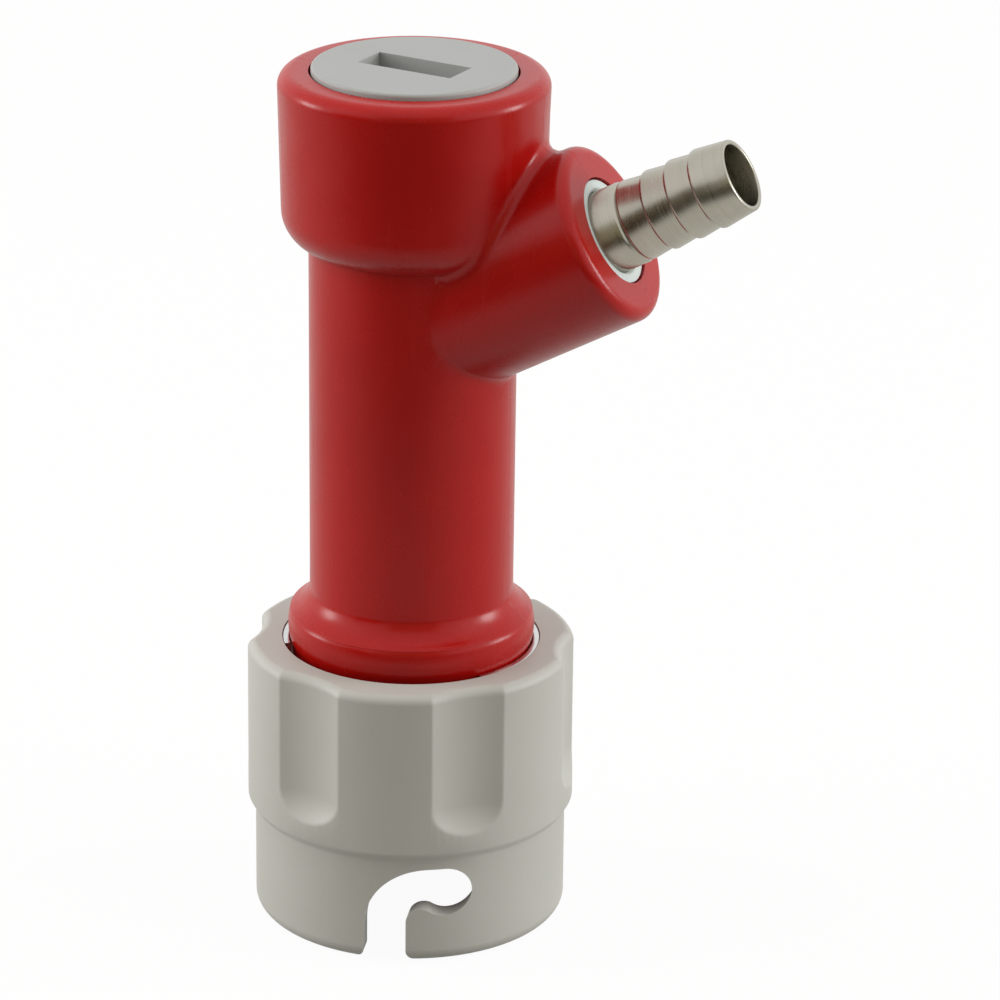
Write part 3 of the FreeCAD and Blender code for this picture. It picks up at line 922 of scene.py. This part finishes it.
@dataclass
class Collar:
    """The grey bayonet collar and the split ring that keeps it on the housing.

    The ring's crest stands between its inner radius and its step. The gap's azimuth,
    in degrees, is the middle of the ring's opening.
    """

    ring_inner: float = 13.03
    ring_outer: float = 14.4
    ring_foot: float = 29.37
    ring_top: float = 30.17
    ring_step: float = 13.76
    ring_crest: float = 30.93
    ring_edge: float = 0.14
    ring_edge_segments: int = 3
    gap_azimuth: float = -104.0
    gap_angle: float = 112.0
    ring_steps: int = 120
    finish: MouldedPlastic = MouldedPlastic(
        "grey_acetal",
        (185, 184, 177),
        (173, 172, 164),
        Sheen.MATT,
        peel=0.008,
        grain=0.003,
    )

    def split_ring(self) -> bpy.types.Object:
        """Bend a stepped wire round the neck, crest in the collar's mouth.

        Returns:
            The ring, still to be settled in its place.
        """
        start_clean()
        middle = Vector(
            (
                (self.ring_inner + self.ring_outer) / 2,
                0.0,
                (self.ring_foot + self.ring_top) / 2,
            )
        )
        bpy.ops.mesh.primitive_plane_add(
            size=1.0, location=middle * MM, rotation=(math.pi / 2, 0.0, 0.0)
        )
        ring = bpy.context.object
        ring.name = "split_ring"
        ring.scale = (
            (self.ring_outer - self.ring_inner) * MM,
            (self.ring_top - self.ring_foot) * MM,
            1.0,
        )
        bpy.ops.object.transform_apply(location=True, rotation=True, scale=True)
        bpy.ops.object.mode_set(mode="EDIT")
        bpy.ops.mesh.select_mode(type="EDGE")
        bpy.ops.mesh.select_all(action="SELECT")
        bpy.ops.mesh.bisect(
            plane_co=(self.ring_step * MM, 0.0, 0.0), plane_no=(1.0, 0.0, 0.0)
        )
        bpy.ops.mesh.select_all(action="DESELECT")
        bpy.ops.object.mode_set(mode="OBJECT")
        corners = ring.data.vertices
        for edge in ring.data.edges:
            ends = [corners[index].co / MM for index in edge.vertices]
            edge.select = all(
                end.z > self.ring_top - TOUCH and end.x < self.ring_step + TOUCH
                for end in ends
            )
        bpy.ops.object.mode_set(mode="EDIT")
        rise = (0.0, 0.0, (self.ring_crest - self.ring_top) * MM)
        bpy.ops.mesh.extrude_region_move(TRANSFORM_OT_translate={"value": rise})
        bpy.ops.mesh.select_all(action="SELECT")
        bpy.ops.mesh.dissolve_faces()
        bpy.ops.mesh.select_all(action="SELECT")
        bpy.ops.mesh.bevel(
            offset=self.ring_edge * MM,
            segments=self.ring_edge_segments,
            affect="VERTICES",
        )
        bpy.ops.mesh.select_all(action="SELECT")
        bpy.ops.mesh.spin(
            steps=self.ring_steps,
            angle=math.radians(360.0 - self.gap_angle),
            center=(0, 0, 0),
            axis=(0, 0, 1),
        )
        close_seams(turn_outwards=True)
        open_from = math.radians(self.gap_azimuth - self.gap_angle / 2)
        ring.matrix_world = Matrix.Rotation(open_from, 4, "Z")
        return ring

    def build(self) -> None:
        """Make the collar's pieces and dress them."""
        shell = smoothed("bayonet_collar", "collar_shell")
        fit(shell, Body.COLLAR, self.finish.material(), "bayonet_collar")
        ring = self.split_ring()
        settle(ring)
        wire = DrawnWire("ring_wire").material()
        fit(ring, Body.COLLAR, wire, "retaining_ring")


@dataclass
class Valve:
    """The poppet with its pin, its O-ring, and the spring over it.

    Names without more are radii.
    """

    pin: float = 1.8
    pin_tip: float = 37.6
    pin_edge: float = 0.5
    lip: float = 3.2
    lip_foot: float = 47.0266
    lip_height: float = 0.7
    lip_cone: float = 0.7
    neck: float = 2.77
    neck_height: float = 2.06
    head: float = 5.6
    head_height: float = 2.2
    guide: float = 3.6
    guide_height: float = 5.0
    guide_edge: float = 0.6
    poppet_edge: float = 0.08
    poppet_steps: int = 64
    seal_radius: float = 3.8
    seal_section: float = 1.98
    seal_steps: int = 72
    spring_gap: float = 0.03
    spring_top: float = 84.09
    travel: float = 4.0
    finish: MouldedPlastic = MouldedPlastic(
        "natural_acetal", (228, 227, 220), (214, 212, 203), Sheen.SOFT
    )

    @property
    def lip_top(self) -> float:
        """Where the lip ends and the neck begins."""
        return self.lip_foot + self.lip_height

    @property
    def head_foot(self) -> float:
        """Where the neck ends under the head."""
        return self.lip_top + self.neck_height

    @property
    def head_top(self) -> float:
        """Where the head ends and the spring's guide begins."""
        return self.head_foot + self.head_height

    def poppet_outline(self) -> list[Point]:
        """The poppet's outline from the pin's tip to the guide's top."""
        guide_top = self.head_top + self.guide_height
        return [
            (0.0, self.pin_tip),
            (self.pin - self.pin_edge, self.pin_tip),
            (self.pin, self.pin_tip + self.pin_edge),
            (self.pin, self.lip_foot - self.lip_cone),
            (self.lip, self.lip_foot),
            (self.lip, self.lip_top),
            (self.neck, self.lip_top),
            (self.neck, self.head_foot),
            (self.head, self.head_foot),
            (self.head, self.head_top),
            (self.guide, self.head_top),
            (self.guide, guide_top - self.guide_edge),
            (self.guide - self.guide_edge, guide_top),
            (0.0, guide_top),
        ]

    def seal(self) -> RubberRing:
        """The O-ring halfway up the neck."""
        return RubberRing(
            name="poppet_o_ring",
            rubber="poppet_nitrile",
            node="poppet_seal",
            body=Body.POPPET,
            radius=self.seal_radius,
            height=(self.lip_top + self.head_foot) / 2,
            section=self.seal_section,
            steps=self.seal_steps,
        )

    def build(self) -> None:
        """Make the valve's pieces and dress them."""
        poppet = turned("poppet_and_pin", self.poppet_outline(), self.poppet_steps)
        settle(poppet, self.poppet_edge, sharp=30.0)
        fit(poppet, Body.POPPET, self.finish.material(), "valve_poppet")

        self.seal().build(UPRIGHT)

        spring = smoothed("valve_spring", "coil_spring", sharp=60.0, rounds=1)
        wire = DrawnWire("spring_wire").material()
        fit(spring, Body.HOUSING, wire, "valve_spring")
        length = self.spring_top - self.head_top - self.spring_gap
        (length - self.travel) / length
        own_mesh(spring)


@dataclass
class ScrewCap:
    """The pale grey screw cap and the O-ring under its head."""

    seal: RubberRing = RubberRing(
        name="cap_o_ring",
        rubber="cap_nitrile",
        node="cap_seal",
        body=Body.CAP_SEAL,
        radius=9.84,
        height=89.31,
        section=1.72,
    )
    finish: MouldedPlastic = MouldedPlastic(
        "pale_grey_acetal",
        (163, 164, 161),
        (151, 152, 149),
        Sheen.MATT,
        thread_pitch=1.5,
        thread_foot=78.6,
        thread_top=88.2,
    )

    def build(self) -> None:
        """Make the cap's pieces and dress them."""
        cap = smoothed("top_cap", "slotted_cap")
        fit(cap, Body.CAP, self.finish.material(), "top_cap")
        self.seal.build(UPRIGHT)


@dataclass(frozen=True)
class SoftBox:
    """A square studio lamp aimed at the connector, in metres and watts."""

    name: str
    place: Triple
    side: float
    power: float
    mirrored: bool = True

    def build(self) -> None:
        """Hang the lamp."""
        lamp = bpy.data.lights.new(self.name, "AREA")
        lamp.shape = "SQUARE"
        lamp.size = self.side
        lamp.energy = self.power
        holder = bpy.data.objects.new(self.name, lamp)
        bpy.context.scene.collection.objects.link(holder)
        holder.location = self.place
        holder.visible_glossy = self.mirrored
        aim = LIT_POINT - Vector(self.place)
        holder.rotation_euler = aim.to_track_quat("-Z", "Y").to_euler()


@dataclass(frozen=True)
class FeltCard:
    """A felt card facing the connector, seen in mirrors and shade only, in metres."""

    name: str
    place: Triple
    width: float
    height: float
    colour: Colour

    def build(self) -> None:
        """Stand the card."""
        start_clean()
        aim = Vector((0.0, 0.0, self.place[2])) - Vector(self.place)
        facing = aim.to_track_quat("Z", "Y").to_euler()
        bpy.ops.mesh.primitive_plane_add(
            size=1.0, location=self.place, rotation=facing
        )
        card = bpy.context.object
        card.name = self.name
        card.scale = (self.width, self.height, 1.0)
        material, bench = new_bench(self.name + "_felt")
        felt = bench.node("ShaderNodeBsdfDiffuse", None, {"Color": linear(self.colour)})
        bench.node("ShaderNodeOutputMaterial", None, {"Surface": felt.outputs[0]})
        card.data.materials.append(material)
        card.visible_camera = False


@dataclass
class Studio:
    """A pale floor in a white room, with lamps and felt cards, in metres. Mirrors see
    the floor as a glowing sheet with a painted reflection.
    """

    room: float = 0.55
    floor_side: float = 4.0
    floor_white: float = 1.08
    floor_glow: float = 0.88
    floor_colour: Colour = (150, 149, 146)
    # Painted reflection: mirrors see the floor glow pale near the connector and dark
    # from these distances towards the camera, in metres.
    near_floor_painted_glow: Colour = (230, 229, 225)
    front_floor_painted_dark: Colour = (62, 54, 44)
    painted_dark_starts: float = 0.106
    painted_dark_ends: float = 0.2
    cards: tuple[FeltCard, ...] = (
        FeltCard(
            "card_behind_camera", (0.16, -0.82, 0.3), 0.95, 0.8, (168, 160, 132)
        ),
        FeltCard(
            "card_left_of_camera", (-0.52, -0.6, 0.13), 0.55, 0.3, (104, 92, 66)
        ),
    )
    lamps: tuple[SoftBox, ...] = (
        SoftBox("lamp_left", (-0.72, -0.12, 0.42), 0.7, 4.1, mirrored=False),
        SoftBox("lamp_right", (0.72, -0.02, 0.38), 0.7, 3.1, mirrored=False),
        SoftBox("lamp_top", (0.0, 0.05, 0.8), 0.7, 1.3, mirrored=False),
        SoftBox("window_left", (-0.67, -0.02, 0.2), 0.2, 1.25),
        SoftBox("window_right", (0.66, 0.12, 0.2), 0.2, 1.5),
    )

    def world(self) -> None:
        """Light the room evenly and show it white where it is seen or mirrored."""
        world = bpy.data.worlds.new("white_room")
        bpy.context.scene.world = world
        world.use_nodes = True
        bench = Bench(world.node_tree)
        path = bench.node("ShaderNodeLightPath")
        seen = Level(bench, path.outputs["Is Camera Ray"])
        for ray in ("Is Glossy Ray", "Is Transmission Ray"):
            seen = seen + Level(bench, path.outputs[ray])
        strength = seen.clamped() * (1.0 - self.room) + self.room
        glow = bench.node("ShaderNodeBackground", None, {"Strength": strength})
        glow.inputs["Color"].default_value = (1.0, 1.0, 1.0, 1.0)
        bench.node("ShaderNodeOutputWorld", None, {"Surface": glow.outputs[0]})

    def floor(self) -> None:
        """Lay the floor, which keeps a share of the shadows. In mirrors it is a glowing
        sheet with a painted reflection, pale near the connector and dark in front.
        """
        start_clean()
        bpy.ops.mesh.primitive_plane_add(size=self.floor_side)
        floor = bpy.context.object
        floor.name = "studio_floor"
        material, bench = new_bench("pale_floor_and_painted_reflection")
        path = bench.node("ShaderNodeLightPath")
        seen = Level(bench, path.outputs["Is Camera Ray"])
        seen = seen + Level(bench, path.outputs["Is Transmission Ray"])
        lit = bench.node(
            "ShaderNodeBsdfDiffuse", None, {"Color": linear(self.floor_colour)}
        )
        white = bench.node("ShaderNodeEmission", None, {"Strength": self.floor_white})
        shown = bench.node(
            "ShaderNodeMixShader",
            None,
            {0: seen * self.floor_glow, 1: lit.outputs[0], 2: white.outputs[0]},
        )
        # Painted reflection: for mirrors the floor glows pale near the connector and
        # dark further towards the camera.
        to_camera = bench.along(bench.place(), Vector((0.0, -1.0, 0.0))) * MM
        painted_dark_share = to_camera.rising(self.painted_dark_starts, self.painted_dark_ends)
        mirrored = bench.blend(painted_dark_share, self.near_floor_painted_glow, self.front_floor_painted_dark)
        painted_reflection_sheet = bench.node(
            "ShaderNodeEmission", None, {"Color": mirrored, "Strength": 1.0}
        )
        # Glossy rays see the painted reflection sheet instead of the lit floor.
        mix = bench.node(
            "ShaderNodeMixShader",
            None,
            {
                0: path.outputs["Is Glossy Ray"],
                1: shown.outputs[0],
                2: painted_reflection_sheet.outputs[0],
            },
        )
        bench.node("ShaderNodeOutputMaterial", None, {"Surface": mix.outputs[0]})
        floor.data.materials.append(material)

    def build(self) -> None:
        """Set up the room, the floor, the cards and the lamps."""
        self.world()
        self.floor()
        for item in (*self.cards, *self.lamps):
            item.build()


@dataclass(frozen=True)
class PhotoCamera:
    """The camera as it stood for the photograph.

    Its place is in millimetres and its turn about Z in degrees. Pitch, yaw and roll
    are radians. The focal length and the image's side are pixels.
    """

    place: Triple = (84.75, -523.24, 250.64)
    turn: float = 9.2
    pitch: float = 0.3677
    yaw: float = 0.0176
    roll: float = 0.0121
    focal: float = 5356.35
    image: float = 1000.0
    sensor: float = 36.0

    def build(self) -> None:
        """Set the camera up."""
        forward = Vector(
            (
                math.sin(self.yaw) * math.cos(self.pitch),
                math.cos(self.yaw) * math.cos(self.pitch),
                -math.sin(self.pitch),
            )
        )
        right = Vector((math.cos(self.yaw), -math.sin(self.yaw), 0.0))
        up = right.cross(forward)
        rolled_right = right * math.cos(self.roll) + up * math.sin(self.roll)
        rolled_up = up * math.cos(self.roll) - right * math.sin(self.roll)
        axes = Matrix((rolled_right, rolled_up, -forward)).transposed()
        turn = Matrix.Rotation(math.radians(self.turn), 3, "Z")
        place = Matrix.Translation(Vector(self.place) * MM)
        camera = bpy.data.cameras.new("photo_camera")
        camera.sensor_width = self.sensor
        camera.lens = self.focal * self.sensor / self.image
        holder = bpy.data.objects.new("photo_camera", camera)
        bpy.context.scene.collection.objects.link(holder)
        holder.matrix_world = place @ (turn @ axes).to_4x4()
        bpy.context.scene.camera = holder
        bpy.context.scene.view_settings.view_transform = "Standard"


def main() -> None:
    """Build the connector, its studio and its camera."""
    logging.basicConfig(level=logging.INFO, format="%(name)s: %(message)s")
    for assembly in (Housing(), Collar(), Valve(), ScrewCap()):
        assembly.build()
    Studio().build()
    PhotoCamera().build()
    start_clean()


if __name__ == "__main__":
    main()
